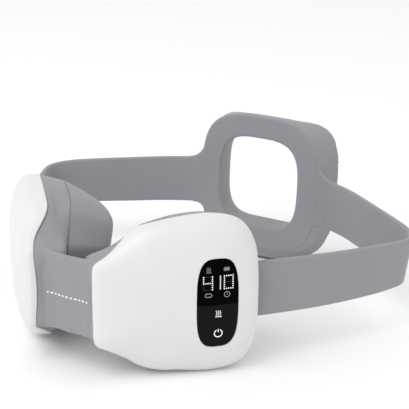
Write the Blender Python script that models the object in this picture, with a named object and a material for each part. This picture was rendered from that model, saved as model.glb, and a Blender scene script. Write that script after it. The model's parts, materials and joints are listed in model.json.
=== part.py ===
"""Eye massager mask: two hard pods joined by a soft nose bridge, with a silicone headband and a back ring.

World frame: +X to the right-hand pod as seen from the front, -Y to the front, +Z up, floor at Z = 0.
Sizes below are in millimetres; every mesh is written in metres.
"""

import math

import bmesh
import bpy
from mathutils import Vector

MM = 0.001

# Place of the whole loop: the nose bridge is at the front, the back ring at the rear.
FRONT_TO_CENTRE = 100.38
POD_CENTRE_Z = 37.6
POD_APEX_X = 49.7
POD_APEX_Y = 22.3
POD_HEADING = math.radians(43.5)

# Outline of a pod seen square on.
POD_NOSE_REACH = 38.2
POD_TEMPLE_REACH = 38.5
POD_HALF_HEIGHT = 38.2
POD_TAPER = 0.25
POD_TAPER_START = 16.0
POD_TAPER_POWER = 1.5
POD_NECK = 0.21
POD_NECK_START = -14.0
POD_NECK_END = -35.0
POD_NOSE_SQUARENESS = 14.0
POD_TEMPLE_SQUARENESS = 4.4
POD_SIDES = 32

# Front shell.
CROWN_DEPTH = 13.0
CROWN_POWER = 2.6
SHELL_WALL = 2.0
RIM_DEPTH_TOP = 17.0
RIM_DEPTH_NOSE = 8.5
RIM_DEPTH_TEMPLE = 11.8
RIM_RISE_FROM = 20.0
RIM_RISE_TO = 35.0
SHELL_RINGS = (0.3, 0.55, 0.75, 0.87, 0.94, 0.98, 1.0)

# Rear cover, a tray that closes the shell.
TRAY_SCALE = 0.925
TRAY_WALL = 1.8
TRAY_EDGE = 10.8
TRAY_FLOOR = 19.0
TRAY_BACK = 21.0

# Face pad: a silicone cup with a foam core and a heating film.
PAD_GAP = 0.3
PAD_CREASE = 29.5
PAD_BULGE = 21.0
PAD_WALL = 2.0
PAD_SHOULDER = 21.8
PAD_TAPER = 0.905
PAD_NOSE_PULL = 0.09
PAD_NOSE_DROP = 5.5
PAD_PEAK = 0.52
PAD_DIP = 5.0
PAD_NOSE_LEAN = 0.55
PAD_TEMPLE_LEAN = 0.35
PAD_RINGS = (1.0, 0.93, 0.84, 0.74, 0.63, 0.52, 0.38, 0.2)
FOAM_FRONT = 22.8
FILM_REACH = 0.6
FILM_THICK = 0.5
SKIN_GAP = 0.35

# Display.
DISPLAY_S = 18.0
DISPLAY_Z = -0.5
DISPLAY_HALF_WIDTH = 9.7
DISPLAY_HALF_HEIGHT = 21.5
DISPLAY_SQUARENESS = 3.3
DISPLAY_GAP = 0.3
KEY_HEIGHTS = (-7.0, -16.6)
KEY_HOLE = 3.8
FRAME_S = (9.6, 26.4)
FRAME_DEPTHS = (5.7, 7.7)
FRAME_HEIGHTS = (-21.0, 17.5)
DIGITS_S = (11.5, 24.5)
DIGITS_HEIGHTS = (1.0, 14.0)
SPRING_RADIUS = 3.3
SPRING_WALL = 0.9
SPRING_DEPTHS = (5.2, 7.8)

# Electronics, as ranges in pod coordinates.
DISPLAY_BOARD_S = (8.4, 27.4)
DISPLAY_BOARD_DEPTHS = (8.0, 9.6)
DISPLAY_BOARD_HEIGHTS = (-22.0, 19.0)
MAIN_BOARD_S = (-2.4, 23.0)
MAIN_BOARD_DEPTHS = (12.6, 14.2)
MAIN_BOARD_HEIGHTS = (-20.0, 18.0)
BUZZER_PLACE = (6.0, -12.0)
BUZZER_RADIUS = 4.5
BUZZER_DEPTHS = (14.5, 17.8)
BATTERY_S = (-2.0, 25.0)
BATTERY_DEPTHS = (7.4, 15.4)
BATTERY_HEIGHTS = (-20.0, 20.0)
PORT_S = (-13.5, -4.5)
PORT_DEPTHS = (12.6, 15.8)
PORT_HEIGHTS = (-36.0, -28.8)
PORT_WALL = 0.5
PORT_GAP = 0.4

# Soft band.
BAND_THICK = 3.0
BAND_HALF_WIDTH = 13.75
BAND_DEPTH = 14.6
BAND_FLEX_S = 40.0
FLEX_GAP = 1.2
OPEN_GAP = 3.2
BAND_POINTS = ((88.0, 85.0), (102.5, 107.0), (110.5, 122.0), (112.6, 131.0), (108.0, 139.0),
               (98.0, 147.0), (80.0, 160.0), (62.0, 172.5))
BAND_CORNER = 4
RING_FLEX = (48.0, 178.9)
RING_FLEX_Z = 41.5

# Back ring: its foot is the flared lower edge that it stands on.
RING_Y = 178.0
RING_CENTRE_Z = 47.0
RING_LEAN = 0.05
RING_HALF_WIDTH = 38.6
RING_HALF_HEIGHT = 39.5
RING_BAND = 13.0
RING_DEPTH = 19.0
RING_SIDE_FLARE = 4.2
RING_TOP_FLARE = -5.0
RING_FOOT_FLARE = 9.5
RING_SKIN = 2.6
RING_SQUARENESS = 3.3
RING_SIDES = 36
EAR_HALF_HEIGHTS = (BAND_HALF_WIDTH, BAND_HALF_WIDTH + 2.0, 20.0, 25.0)
EAR_HEIGHTS = (RING_FLEX_Z, 41.9, 43.6, 45.5)
EAR_INWARD = (5.0, 10.0)

# Nose bridge.
BRIDGE_HALF_HEIGHT = 19.0
BRIDGE_THICK = 3.0
BRIDGE_DEPTH = 12.0
BRIDGE_END_S = -24.2
BRIDGE_EXIT_S = -36.5
BRIDGE_FRONT_Y = 3.9
BRIDGE_BEND_X = 7.0
BRIDGE_BEND_RISE = 0.5
CABLE_HALF_HEIGHT = 4.0
CABLE_THICK = 0.6
CABLE_GAP = 0.25
CABLE_END_S = -20.6

# Clamps that hold the silicone ends.
CLAMP_GAP = 0.3
BRIDGE_CLAMP_S = (-26.2, -21.8)
BRIDGE_CLAMP_DEPTHS = (8.9, 15.1)
BRIDGE_CLAMP_HALF_HEIGHT = 20.8
BAND_ANCHOR_S = (26.2, 31.8)
BAND_ANCHOR_WALL = 1.6
BAND_ANCHOR_HALF_HEIGHT = 15.6
BAND_ROOT_S = 27.5

# Openings through which the silicone leaves the pods.
BRIDGE_NOTCH_S = (-50.0, -28.3)
BRIDGE_NOTCH_DEPTHS = (7.5, 16.0)
BAND_NOTCH_S = (31.0, 50.0)
BAND_NOTCH_DEPTHS = (11.0, 16.8)

# Massage motor: its axis is upright.
MOTOR_S = -9.5
MOTOR_DEPTH = 12.4
MOTOR_RADIUS = 4.8
MOTOR_BOTTOM = -5.0
MOTOR_TOP = 14.0
WEIGHT_RADIUS = 5.4
WEIGHT_BOTTOM = -13.0
WEIGHT_TOP = -6.5
SHAFT_RADIUS = 0.8
CLIP_WALL = 1.8
CLIP_HEIGHTS = (-1.0, 11.0)

SCREW_PLACES = ((-17.5, 18.5), (-17.5, -18.5), (22.0, 26.0), (22.0, -26.0))
POST_RADIUS = 2.8
SCREW_SHANK = 1.0

WHITE_PLASTIC = ("white_plastic", (0.86, 0.86, 0.87), 0.38, 0.0)
BLACK_GLASS = ("black_glass", (0.006, 0.006, 0.007), 0.08, 0.0)
DARK_PLASTIC = ("dark_plastic", (0.05, 0.05, 0.055), 0.5, 0.0)
GREY_PLASTIC = ("grey_plastic", (0.3, 0.3, 0.32), 0.5, 0.0)
SILICONE = ("grey_silicone", (0.3, 0.3, 0.32), 0.55, 0.0)
FOAM = ("foam", (0.75, 0.74, 0.7), 0.95, 0.0)
FILM = ("heating_film", (0.6, 0.28, 0.08), 0.45, 0.0)
BOARD = ("circuit_board", (0.03, 0.16, 0.07), 0.45, 0.0)
STEEL = ("steel", (0.6, 0.6, 0.6), 0.3, 1.0)
BRASS = ("brass", (0.6, 0.45, 0.2), 0.35, 1.0)
CELL = ("battery_wrap", (0.35, 0.36, 0.4), 0.35, 0.4)


def clear_scene():
    for obj in list(bpy.data.objects):
        bpy.data.objects.remove(obj, do_unlink=True)


def material(look):
    name, colour, roughness, metallic = look
    found = bpy.data.materials.get(name)
    if found:
        return found
    made = bpy.data.materials.new(name)
    made.use_nodes = True
    made.diffuse_color = (*colour, 1.0)
    shader = made.node_tree.nodes["Principled BSDF"]
    shader.inputs["Base Color"].default_value = (*colour, 1.0)
    shader.inputs["Roughness"].default_value = roughness
    shader.inputs["Metallic"].default_value = metallic
    return made


def mesh_object(name, points, faces, look, smooth=True):
    """A mesh object from millimetre points, with its face normals turned outward."""
    mesh = bpy.data.meshes.new(name)
    mesh.from_pydata([Vector(p) * MM for p in points], [], faces)
    work = bmesh.new()
    work.from_mesh(mesh)
    bmesh.ops.recalc_face_normals(work, faces=work.faces)
    work.to_mesh(mesh)
    work.free()
    mesh.materials.append(material(look))
    for face in mesh.polygons:
        face.use_smooth = smooth
    obj = bpy.data.objects.new(name, mesh)
    bpy.context.scene.collection.objects.link(obj)
    return obj


def apply_boolean(target, cutter, operation):
    """Runs one exact Boolean, keeps its result and deletes the cutter."""
    modifier = target.modifiers.new(operation.lower(), "BOOLEAN")
    modifier.operation = operation
    modifier.solver = "EXACT"
    modifier.object = cutter
    bpy.context.view_layer.update()
    graph = bpy.context.evaluated_depsgraph_get()
    result = bpy.data.meshes.new_from_object(target.evaluated_get(graph))
    target.modifiers.clear()
    target.data = result
    bpy.data.objects.remove(cutter, do_unlink=True)


def cut(target, cutter):
    apply_boolean(target, cutter, "DIFFERENCE")


def join(target, other):
    apply_boolean(target, other, "UNION")


def move_origin(obj, point):
    """Puts an object's origin at a world point in millimetres without moving its mesh."""
    shift = Vector(point) * MM
    for vertex in obj.data.vertices:
        vertex.co -= shift
    obj.location = shift


# Frames -------------------------------------------------------------------------------------------


def in_loop(x, y, z):
    """A world point from loop coordinates, whose y starts at the front of the nose."""
    return (x, y - FRONT_TO_CENTRE, z)


def in_pod(side, s, depth, z):
    """A world point from pod coordinates: s toward the temple, depth toward the face, z from mid-height."""
    x = POD_APEX_X + s * math.cos(POD_HEADING) - depth * math.sin(POD_HEADING)
    y = POD_APEX_Y + s * math.sin(POD_HEADING) + depth * math.cos(POD_HEADING)
    return in_loop(side * x, y, z + POD_CENTRE_Z)


def above_floor(point):
    return (point[0], point[1], max(point[2], 0.0))


# Generators of closed solids ----------------------------------------------------------------------


def loft_faces(rings, sides):
    """Faces of a skin through rings of equal size, closed by one pole at each end."""
    faces = []
    first_pole = rings * sides
    last_pole = first_pole + 1
    for k in range(sides):
        after = (k + 1) % sides
        faces.append((first_pole, k, after))
        for ring in range(rings - 1):
            low = ring * sides
            high = low + sides
            faces.append((low + k, high + k, high + after, low + after))
        end = (rings - 1) * sides
        faces.append((end + k, last_pole, end + after))
    return faces


def pod_loft(name, side, rings, first_pole, last_pole, look):
    """A pod-shaped solid; rings and poles are in pod coordinates."""
    sides = len(rings[0])
    points = [above_floor(in_pod(side, *p)) for ring in rings for p in ring]
    points += [above_floor(in_pod(side, *first_pole)), above_floor(in_pod(side, *last_pole))]
    return mesh_object(name, points, loft_faces(len(rings), sides), look)


def pod_prism(name, side, outline, front, back, look, smooth=False):
    """An outline of (s, z) points extruded along the pod's depth."""
    count = len(outline)
    points = [in_pod(side, s, front, z) for s, z in outline] + [in_pod(side, s, back, z) for s, z in outline]
    faces = [tuple(range(count)), tuple(range(count, 2 * count))]
    faces += [(k, (k + 1) % count, (k + 1) % count + count, k + count) for k in range(count)]
    return mesh_object(name, points, faces, look, smooth)


def pod_box(name, side, s_range, depth_range, z_range, look):
    outline = [(s_range[a], z_range[b]) for a, b in ((0, 0), (1, 0), (1, 1), (0, 1))]
    return pod_prism(name, side, outline, *depth_range, look)


def circle(centre, radius, sides):
    angles = [2 * math.pi * k / sides for k in range(sides)]
    return [(centre[0] + radius * math.cos(a), centre[1] + radius * math.sin(a)) for a in angles]


def pod_rod(name, side, s, z, radius, front, back, look, sides=12):
    """A round bar along the pod's depth."""
    return pod_prism(name, side, circle((s, z), radius, sides), front, back, look, smooth=True)


def upright(name, side, outline, bottom, top, look, smooth=True):
    """An outline of (s, depth) points extruded upward."""
    count = len(outline)
    points = [in_pod(side, s, depth, bottom) for s, depth in outline]
    points += [in_pod(side, s, depth, top) for s, depth in outline]
    faces = [tuple(range(count)), tuple(range(count, 2 * count))]
    faces += [(k, (k + 1) % count, (k + 1) % count + count, k + count) for k in range(count)]
    return mesh_object(name, points, faces, look, smooth)


def smooth_path(points, steps=3):
    """A Catmull-Rom curve through plan points."""
    knots = [Vector(p) for p in points]
    knots = [2 * knots[0] - knots[1]] + knots + [2 * knots[-1] - knots[-2]]
    path = []
    for k in range(1, len(knots) - 2):
        before, here, after, beyond = knots[k - 1 : k + 3]
        for step in range(steps):
            t = step / steps
            path.append(0.5 * (2 * here + (after - before) * t
                               + (2 * before - 5 * here + 4 * after - beyond) * t ** 2
                               + (3 * here - before - 3 * after + beyond) * t ** 3))
    path.append(knots[-2])
    return path


def ribbon_section(half_width, thick, edge=0.8):
    """Half-thickness offsets and heights around a ribbon with eased edges."""
    half = thick / 2
    edge = min(edge, half * 0.6)
    flat = half_width - edge
    return [(half, -flat), (half, flat), (half - edge, half_width), (edge - half, half_width),
            (-half, flat), (-half, -flat), (edge - half, -half_width), (half - edge, -half_width)]


def ribbon(name, side, path, centre_heights, half_widths, thick, look, edge=0.8, leans=None):
    """An upright ribbon along a plan path in loop coordinates, mirrored for the left side.

    leans gives, at each point of the path, how far the ribbon goes back for each unit of height.
    """
    leans = leans or [0.0] * len(path)
    points = []
    last = len(path) - 1
    for k, here in enumerate(path):
        along = (path[min(k + 1, last)] - path[max(k - 1, 0)]).normalized()
        across = Vector((along.y, -along.x))
        for offset, height in ribbon_section(half_widths[k], thick, edge):
            spot = here + across * offset
            points.append(in_loop(side * spot.x, spot.y + leans[k] * height, centre_heights[k] + height))
    ring = 8
    faces = [tuple(range(ring)), tuple(range(last * ring, last * ring + ring))]
    for k in range(last):
        for j in range(ring):
            after = (j + 1) % ring
            faces.append((k * ring + j, (k + 1) * ring + j, (k + 1) * ring + after, k * ring + after))
    return mesh_object(name, points, faces, look)


# Pod outline and surfaces -------------------------------------------------------------------------


def signed_power(value, power):
    return math.copysign(abs(value) ** power, value)


def smooth_step(share):
    """Eases from 0 to 1 as share goes from 0 to 1."""
    share = min(1.0, max(0.0, share))
    return share * share * (3 - 2 * share)


def outline_point(angle):
    reach = POD_TEMPLE_REACH
    squareness = POD_TEMPLE_SQUARENESS
    if math.cos(angle) < 0:
        reach = POD_NOSE_REACH
        squareness = POD_NOSE_SQUARENESS
    s = reach * signed_power(math.cos(angle), 2 / squareness)
    z = POD_HALF_HEIGHT * signed_power(math.sin(angle), 2 / squareness)
    toward_nose = max(0.0, POD_TAPER_START - s) / (POD_TAPER_START + POD_NOSE_REACH)
    neck = smooth_step((POD_NECK_START - s) / (POD_NECK_START - POD_NECK_END))
    return Vector((s, z * (1 - POD_TAPER * toward_nose ** POD_TAPER_POWER - POD_NECK * neck)))


def pod_outline():
    """The outline as evenly spaced (s, z) points, counted from the temple over the top."""
    dense = [outline_point(2 * math.pi * k / 720) for k in range(721)]
    travelled = [0.0]
    for before, after in zip(dense, dense[1:]):
        travelled.append(travelled[-1] + (after - before).length)
    outline = []
    index = 0
    for k in range(POD_SIDES):
        target = travelled[-1] * k / POD_SIDES
        while travelled[index + 1] < target:
            index += 1
        share = (target - travelled[index]) / (travelled[index + 1] - travelled[index])
        outline.append(dense[index].lerp(dense[index + 1], share))
    return outline


OUTLINE = pod_outline()


def crown(reach, depth=CROWN_DEPTH):
    """Depth of the crowned front at a share of the way from its middle to its edge."""
    return depth * (1 - (1 - min(reach, 1.0) ** CROWN_POWER) ** (1 / CROWN_POWER))


def rim_depth(point):
    """Depth of the shell's scalloped rear edge."""
    end = RIM_DEPTH_TEMPLE if point.x > 0 else RIM_DEPTH_NOSE
    share = smooth_step((abs(point.y) - RIM_RISE_FROM) / (RIM_RISE_TO - RIM_RISE_FROM))
    return end + (RIM_DEPTH_TOP - end) * share


def scaled_ring(scale, depth_of):
    return [(p.x * scale, depth_of(p), p.y * scale) for p in OUTLINE]


def pad_surface(reach):
    """Depth of the face cushion from its edge (1) over its peak to its middle (0)."""
    if reach > PAD_PEAK:
        share = (1 - reach) / (1 - PAD_PEAK)
        return PAD_CREASE + PAD_BULGE * math.sin(share * math.pi / 2)
    share = reach / PAD_PEAK
    return PAD_CREASE + PAD_BULGE - PAD_DIP * math.cos(share * math.pi / 2) ** 2


def pad_ring(reach, scale=1.0, sunk=0.0):
    """A ring of the face cushion, which leans away from the nose so that a nose fits between the pods."""
    ring = []
    for point in OUTLINE:
        toward_nose = max(0.0, -point.x * reach / POD_NOSE_REACH)
        toward_temple = max(0.0, point.x * reach / POD_TEMPLE_REACH)
        rise = pad_surface(reach) - PAD_CREASE
        lean = 1 - PAD_NOSE_LEAN * toward_nose - PAD_TEMPLE_LEAN * toward_temple
        depth = PAD_CREASE - PAD_NOSE_DROP * toward_nose + rise * lean - sunk
        narrowed = reach * scale * PAD_TAPER
        ring.append((point.x * narrowed * (1 - PAD_NOSE_PULL * toward_nose), depth, point.y * narrowed))
    return ring


# Pieces of a pod ----------------------------------------------------------------------------------


def shell_solid(name, side):
    inner = 1 - SHELL_WALL / POD_TEMPLE_REACH
    outer_rings = [scaled_ring(r, lambda p, r=r: crown(r)) for r in SHELL_RINGS[:-1]]
    outer_rings.append(scaled_ring(1.0, lambda p: min(crown(1.0), rim_depth(p) - 0.4)))
    outer_rings.append(scaled_ring(1.0, rim_depth))
    inner_rings = [scaled_ring(inner, rim_depth)]
    inner_rings.append(scaled_ring(inner, lambda p: min(crown(1.0), rim_depth(p) - 0.4)))
    inner_crown = CROWN_DEPTH - SHELL_WALL
    for r in reversed(SHELL_RINGS[:-1]):
        inner_rings.append(scaled_ring(inner * r, lambda p, r=r: SHELL_WALL + crown(r, inner_crown)))
    return pod_loft(name, side, outer_rings + inner_rings, (0, 0, 0), (0, SHELL_WALL, 0), WHITE_PLASTIC)


def front_shell(name, side):
    shell = shell_solid(name, side)
    for s, z in SCREW_PLACES:
        join(shell, pod_rod("post", side, s, z, POST_RADIUS, 3.6, TRAY_FLOOR - 0.5, WHITE_PLASTIC))
    for s, z in SCREW_PLACES:
        cut(shell, pod_rod("bore", side, s, z, SCREW_SHANK + 0.2, 9.0, TRAY_FLOOR + 1, WHITE_PLASTIC))
    return shell


def display_outline(grow):
    angles = [2 * math.pi * k / 40 for k in range(40)]
    power = 2 / DISPLAY_SQUARENESS
    return [(DISPLAY_S + (DISPLAY_HALF_WIDTH + grow) * signed_power(math.cos(a), power),
             DISPLAY_Z + (DISPLAY_HALF_HEIGHT + grow) * signed_power(math.sin(a), power)) for a in angles]


def display_lens(side):
    lens = shell_solid("display_lens", side)
    window = pod_prism("window", side, display_outline(0.0), -2.0, 7.0, BLACK_GLASS)
    apply_boolean(lens, window, "INTERSECT")
    lens.data.materials.clear()
    lens.data.materials.append(material(BLACK_GLASS))
    return lens


def display_frame(side):
    """Light frame behind the lens, with a window for the digits and a hole for each touch spring."""
    frame = pod_box("display_frame", side, FRAME_S, FRAME_DEPTHS, FRAME_HEIGHTS, DARK_PLASTIC)
    through = (FRAME_DEPTHS[0] - 0.8, FRAME_DEPTHS[1] + 0.8)
    cut(frame, pod_box("digits", side, DIGITS_S, through, DIGITS_HEIGHTS, DARK_PLASTIC))
    for z in KEY_HEIGHTS:
        cut(frame, pod_rod("key_hole", side, DISPLAY_S, z, KEY_HOLE, *through, DARK_PLASTIC, sides=20))
    return frame


def touch_spring(name, side, z):
    spring = pod_rod(name, side, DISPLAY_S, z, SPRING_RADIUS, *SPRING_DEPTHS, BRASS, sides=16)
    core = SPRING_RADIUS - SPRING_WALL
    through = (SPRING_DEPTHS[0] - 1, SPRING_DEPTHS[1] + 1)
    cut(spring, pod_rod("core", side, DISPLAY_S, z, core, *through, BRASS, sides=16))
    return spring


def charge_port(side):
    """Charging socket that opens at the bottom edge of the pod."""
    port = pod_box("charge_port", side, PORT_S, PORT_DEPTHS, PORT_HEIGHTS, STEEL)
    mouth_s = (PORT_S[0] + PORT_WALL, PORT_S[1] - PORT_WALL)
    mouth_depths = (PORT_DEPTHS[0] + PORT_WALL, PORT_DEPTHS[1] - PORT_WALL)
    cut(port, pod_box("mouth", side, mouth_s, mouth_depths, (-40.0, PORT_HEIGHTS[1] - 1.7), STEEL))
    return port


def port_opening(side):
    s_range = (PORT_S[0] - PORT_GAP, PORT_S[1] + PORT_GAP)
    depths = (PORT_DEPTHS[0] - PORT_GAP, PORT_DEPTHS[1] + PORT_GAP)
    return pod_box("port_opening", side, s_range, depths, (-45.0, PORT_HEIGHTS[1] + 0.8), STEEL)


def rear_cover(name, side):
    inner = TRAY_SCALE - TRAY_WALL / POD_TEMPLE_REACH
    rings = [scaled_ring(inner, lambda p: TRAY_FLOOR), scaled_ring(inner, lambda p: TRAY_EDGE)]
    rings += [scaled_ring(TRAY_SCALE, lambda p: TRAY_EDGE), scaled_ring(TRAY_SCALE, lambda p: TRAY_BACK)]
    tray = pod_loft(name, side, rings, (0, TRAY_FLOOR, 0), (0, TRAY_BACK, 0), GREY_PLASTIC)
    for s, z in SCREW_PLACES:
        through = (TRAY_FLOOR - 2, TRAY_BACK + 2)
        cut(tray, pod_rod("clearance", side, s, z, SCREW_SHANK + 0.6, *through, GREY_PLASTIC))
    return tray


def bridge_notch(side):
    half = BRIDGE_HALF_HEIGHT + 0.5
    return pod_box("bridge_notch", side, BRIDGE_NOTCH_S, BRIDGE_NOTCH_DEPTHS, (-half, half), SILICONE)


def band_notch(side):
    half = BAND_HALF_WIDTH + 0.7
    return pod_box("band_notch", side, BAND_NOTCH_S, BAND_NOTCH_DEPTHS, (-half, half), SILICONE)


def face_pad(name, side):
    """The silicone cup: skirt, crease and cushion, and the same surfaces again one wall further in."""
    inner = 1 - PAD_WALL / POD_TEMPLE_REACH
    cup = [scaled_ring(1.0, lambda p: rim_depth(p) + PAD_GAP), scaled_ring(1.0, lambda p: PAD_SHOULDER)]
    cup += [pad_ring(r) for r in PAD_RINGS]
    lining = [scaled_ring(inner, lambda p: rim_depth(p) + PAD_GAP)]
    lining.append(scaled_ring(inner, lambda p: PAD_SHOULDER))
    lining += [pad_ring(r, inner, PAD_WALL) for r in PAD_RINGS[1:]]
    middle = pad_surface(0.0)
    return pod_loft(name, side, lining[::-1] + cup, (0, middle - PAD_WALL, 0), (0, middle, 0), SILICONE)


def foam_core(name, side):
    inner = 1 - PAD_WALL / POD_TEMPLE_REACH - 0.012
    lost = PAD_WALL + 2 * SKIN_GAP + FILM_THICK
    rings = [pad_ring(PAD_RINGS[1], inner, lost)]
    rings[:0] = [[(s, FOAM_FRONT, z) for s, depth, z in rings[0]]]
    rings += [pad_ring(r, inner, lost) for r in PAD_RINGS[2:]]
    return pod_loft(name, side, rings, (0, FOAM_FRONT, 0), (0, pad_surface(0.0) - lost, 0), FOAM)


def heating_film(name, side):
    inner = 1 - PAD_WALL / POD_TEMPLE_REACH
    reaches = [r for r in PAD_RINGS if r < FILM_REACH]
    top = PAD_WALL + SKIN_GAP
    low = top + FILM_THICK
    rings = [pad_ring(r, inner, low) for r in reversed(reaches)]
    rings += [pad_ring(r, inner, top) for r in reaches]
    middle = pad_surface(0.0)
    return pod_loft(name, side, rings, (0, middle - low, 0), (0, middle - top, 0), FILM)


def motor(name, side):
    centre = (MOTOR_S, MOTOR_DEPTH)
    body = upright(name, side, circle(centre, MOTOR_RADIUS, 20), MOTOR_BOTTOM, MOTOR_TOP, STEEL)
    round_bore = circle(centre, SHAFT_RADIUS + 0.3, 12)
    bore = upright("bore", side, round_bore, MOTOR_BOTTOM - 1, MOTOR_BOTTOM + 4, STEEL)
    cut(body, bore)
    return body


def motor_clip(name, side):
    """Saddle on the rear cover that holds the motor."""
    reach = MOTOR_RADIUS + CLIP_WALL
    depths = (MOTOR_DEPTH, TRAY_FLOOR - 0.3)
    clip = pod_box(name, side, (MOTOR_S - reach, MOTOR_S + reach), depths, CLIP_HEIGHTS, GREY_PLASTIC)
    round_seat = circle((MOTOR_S, MOTOR_DEPTH), MOTOR_RADIUS + 0.25, 20)
    seat = upright("seat", side, round_seat, CLIP_HEIGHTS[0] - 2, CLIP_HEIGHTS[1] + 2, GREY_PLASTIC)
    cut(clip, seat)
    return clip


def motor_weight(name, side):
    """Off-centre weight with its hub and shaft."""
    half_disc = [(MOTOR_S + WEIGHT_RADIUS * math.cos(a), MOTOR_DEPTH - WEIGHT_RADIUS * math.sin(a))
                 for a in [math.pi * k / 12 for k in range(13)]]
    weight = upright(name, side, half_disc, WEIGHT_BOTTOM, WEIGHT_TOP, BRASS)
    hub = upright("hub", side, circle((MOTOR_S, MOTOR_DEPTH), 1.9, 12), WEIGHT_BOTTOM, WEIGHT_TOP, BRASS)
    join(weight, hub)
    shaft = upright("shaft", side, circle((MOTOR_S, MOTOR_DEPTH), SHAFT_RADIUS, 12), WEIGHT_BOTTOM + 1,
                    MOTOR_BOTTOM + 3, BRASS)
    join(weight, shaft)
    move_origin(weight, in_pod(side, MOTOR_S, MOTOR_DEPTH, 0.0))
    return weight


def cover_screw(name, side, s, z):
    screw = pod_rod(name, side, s, z, 2.2, TRAY_BACK + 0.1, TRAY_BACK + 1.4, STEEL)
    join(screw, pod_rod("shank", side, s, z, SCREW_SHANK, 11.5, TRAY_BACK + 0.6, STEEL))
    return screw


def bridge_clamp(name, side):
    """Frame that grips the end of the nose bridge; the bridge and its cable pass through."""
    half = BRIDGE_CLAMP_HALF_HEIGHT
    clamp = pod_box(name, side, BRIDGE_CLAMP_S, BRIDGE_CLAMP_DEPTHS, (-half, half), GREY_PLASTIC)
    depths = (BRIDGE_DEPTH - BRIDGE_THICK / 2 - CLAMP_GAP, BRIDGE_DEPTH + BRIDGE_THICK / 2 + CLAMP_GAP)
    tall = BRIDGE_HALF_HEIGHT + CLAMP_GAP
    cut(clamp, pod_box("slot", side, (-32.0, -20.0), depths, (-tall, tall), GREY_PLASTIC))
    return clamp


def band_anchor(name, side):
    """Clamp that grips the end of the headband."""
    low = BAND_DEPTH - BAND_THICK / 2
    high = BAND_DEPTH + BAND_THICK / 2
    depths = (low - BAND_ANCHOR_WALL, high + BAND_ANCHOR_WALL)
    half = BAND_ANCHOR_HALF_HEIGHT
    anchor = pod_box(name, side, BAND_ANCHOR_S, depths, (-half, half), GREY_PLASTIC)
    tall = BAND_HALF_WIDTH + CLAMP_GAP
    s_range = (BAND_ROOT_S, BAND_ANCHOR_S[1] + 1)
    depths = (low - CLAMP_GAP, high + CLAMP_GAP)
    cut(anchor, pod_box("slot", side, s_range, depths, (-tall, tall), GREY_PLASTIC))
    return anchor


def band_end(name, side):
    """Root of the headband, held in the pod; it ends just before the flex line."""
    path = [Vector(pod_plan(s, BAND_DEPTH)) for s in (28.0, 31.0, 34.0, 37.0, BAND_FLEX_S - FLEX_GAP / 2)]
    heights = [POD_CENTRE_Z] * len(path)
    return ribbon(name, side, path, heights, [BAND_HALF_WIDTH] * len(path), BAND_THICK, SILICONE)


# Nose bridge, headband and back ring --------------------------------------------------------------


def pod_plan(s, depth):
    """Plan position of a pod point in loop coordinates, right-hand side."""
    x = POD_APEX_X + s * math.cos(POD_HEADING) - depth * math.sin(POD_HEADING)
    y = POD_APEX_Y + s * math.sin(POD_HEADING) + depth * math.cos(POD_HEADING)
    return (x, y)


def bridge_path(end_s):
    """Across the nose, from the left clamp to the right one."""
    middle_y = BRIDGE_FRONT_Y + BRIDGE_THICK / 2
    right = [pod_plan(end_s, BRIDGE_DEPTH), pod_plan((end_s + BRIDGE_EXIT_S) / 2, BRIDGE_DEPTH),
             pod_plan(BRIDGE_EXIT_S, BRIDGE_DEPTH), (BRIDGE_BEND_X, middle_y + BRIDGE_BEND_RISE)]
    left = [(-x, y) for x, y in right]
    return smooth_path(left + [(0.0, middle_y)] + right[::-1])


def nose_bridge():
    path = bridge_path(BRIDGE_END_S)
    heights = [POD_CENTRE_Z] * len(path)
    widths = [BRIDGE_HALF_HEIGHT] * len(path)
    bridge = ribbon("nose_bridge", 1, path, heights, widths, BRIDGE_THICK, SILICONE)
    long_path = bridge_path(CABLE_END_S + 1)
    count = len(long_path)
    heights = [POD_CENTRE_Z] * count
    rooms = [CABLE_HALF_HEIGHT + CABLE_GAP] * count
    channel = ribbon("channel", 1, long_path, heights, rooms, CABLE_THICK + 2 * CABLE_GAP, SILICONE, edge=0.1)
    cut(bridge, channel)
    return bridge


def bridge_cable():
    path = bridge_path(CABLE_END_S)
    count = len(path)
    return ribbon("bridge_cable", 1, path, [POD_CENTRE_Z] * count, [CABLE_HALF_HEIGHT] * count, CABLE_THICK,
                  DARK_PLASTIC, edge=0.1)


def trimmed(path, start_gap, end_gap):
    """The path with a length taken off each end."""
    path = [p.copy() for p in path]
    path[0] += (path[1] - path[0]).normalized() * start_gap
    path[-1] += (path[-2] - path[-1]).normalized() * end_gap
    return path


def band(name, side, start_gap):
    path = smooth_path([pod_plan(BAND_FLEX_S, BAND_DEPTH), *BAND_POINTS, RING_FLEX])
    path = trimmed(path, start_gap, FLEX_GAP / 2)
    last = len(path) - 1
    corner = (BAND_CORNER + 1) * last // (len(BAND_POINTS) + 1)
    rise = RING_FLEX_Z - POD_CENTRE_Z
    heights = [POD_CENTRE_Z + rise * max(0, k - corner) / (last - corner) for k in range(last + 1)]
    return ribbon(name, side, path, heights, [BAND_HALF_WIDTH] * len(path), BAND_THICK, SILICONE)


def ring_point(angle, inset, depth):
    """A point of the back ring: an angle round it, a distance in from its outer edge, a depth to the rear."""
    half_x = RING_HALF_WIDTH - inset
    half_z = RING_HALF_HEIGHT - inset
    x = half_x * signed_power(math.cos(angle), 2 / RING_SQUARENESS)
    z = half_z * signed_power(math.sin(angle), 2 / RING_SQUARENESS)
    return in_loop(x, RING_Y + depth + RING_LEAN * z, RING_CENTRE_Z + z)


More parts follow.
